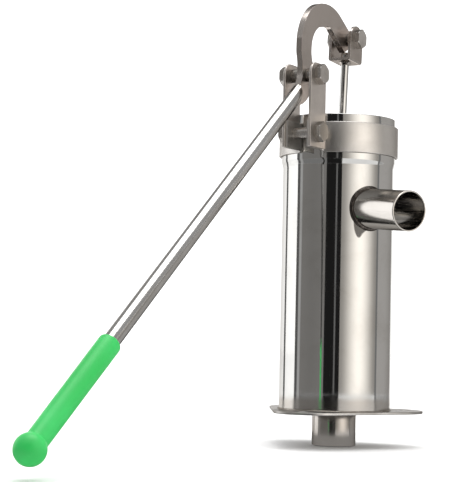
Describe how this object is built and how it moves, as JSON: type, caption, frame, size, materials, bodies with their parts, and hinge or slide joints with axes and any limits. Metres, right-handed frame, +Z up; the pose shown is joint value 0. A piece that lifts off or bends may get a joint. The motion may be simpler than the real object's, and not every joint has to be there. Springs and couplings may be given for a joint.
{
  "type": "hand well pump",
  "caption": "Open-topped cylindrical hand well pump with a side spout, a swivelling clamp bracket, a hooked lever with a long handle and dipped grip, a clevis rod and a bolt-down base flange.",
  "frame": {"origin": "on the barrel's axis, in the underside of the base flange, at the centre of its three bolt holes", "axes": "+Z up along the barrel; the lever swings in the XZ plane with the handle towards -X; the bolt heads face -Y and the spout points towards -X-Y, 118 degrees clockwise from +X"},
  "size_m": [0.5469, 0.1908, 0.4247],
  "materials": {
    "polished_steel": "polished, faint circumferential grain",
    "satin_steel": "satin",
    "fastener_steel": "bright satin",
    "drawn_steel": "bright drawn",
    "grip_vinyl": "soft gloss, dipped",
    "seal_rubber": "matt"
  },
  "bodies": {
    "barrel": {"base_flange": "polished_steel", "inlet_spigot": "polished_steel", "barrel": "polished_steel", "spout": "polished_steel", "valve_seat": "satin_steel", "flap_tongue": "seal_rubber", "flap_clamp_bar": "satin_steel", "flap_screws": "fastener_steel"},
    "foot_flap": {"flap_disc": "seal_rubber", "flap_weight": "satin_steel", "flap_rivet": "fastener_steel"},
    "bracket": {"clamp_band": "satin_steel", "front_strap": "satin_steel", "rear_strap": "satin_steel", "pivot_bolt": "fastener_steel", "pivot_nut": "fastener_steel", "pivot_spacers": "fastener_steel", "clamp_bolt": "fastener_steel", "clamp_nut": "fastener_steel"},
    "lever": {"hook_plate": "satin_steel", "handle_tube": "drawn_steel", "grip": "grip_vinyl"},
    "rod": {"clevis": "satin_steel", "clevis_bolt": "fastener_steel", "clevis_nut": "fastener_steel", "clevis_spacers": "fastener_steel", "pump_rod": "drawn_steel", "rod_eye": "satin_steel", "piston_pin": "fastener_steel", "pin_clips": "fastener_steel"},
    "piston": {"piston_plate": "satin_steel", "cup_seal": "seal_rubber", "retainer_ring": "satin_steel", "retainer_screws": "fastener_steel", "retainer_nuts": "fastener_steel", "valve_guide": "satin_steel", "piston_fork": "satin_steel", "piston_bolt": "fastener_steel", "piston_nut": "fastener_steel"},
    "piston_valve": {"valve_disc": "seal_rubber", "valve_weight": "satin_steel"}
  },
  "joints": [
    {"name": "bracket_swivel", "type": "hinge", "parent": "barrel", "child": "bracket", "pos_m": [0, 0, 0.2615], "axis": [0, 0, 1], "continuous": true},
    {"name": "lever_pivot", "type": "hinge", "parent": "bracket", "child": "lever", "pos_m": [-0.072, 0, 0.318], "axis": [0, 1, 0], "range_deg": [0, 59]},
    {"name": "clevis_pivot", "type": "hinge", "parent": "lever", "child": "rod", "pos_m": [0.01243, 0, 0.36577], "axis": [0, 1, 0], "range_deg": [-59.5, 0.5]},
    {"name": "piston_slide", "type": "slide", "parent": "bracket", "child": "piston", "axis": [0, 0, -1], "range_m": [-0.0005, 0.09711]},
    {"name": "piston_valve_lift", "type": "slide", "parent": "piston", "child": "piston_valve", "axis": [0, 0, 1], "range_m": [0, 0.006]},
    {"name": "foot_flap_hinge", "type": "hinge", "parent": "barrel", "child": "foot_flap", "pos_m": [0.0302, 0, 0.0086], "axis": [0, 1, 0], "range_deg": [0, 20]}
  ],
  "couplings": [
    {"joint": "clevis_pivot", "follows": "lever_pivot", "ratio": -1},
    {"joint": "piston_slide", "follows": "lever_pivot", "m_per_rad": 0.093818}
  ]
}
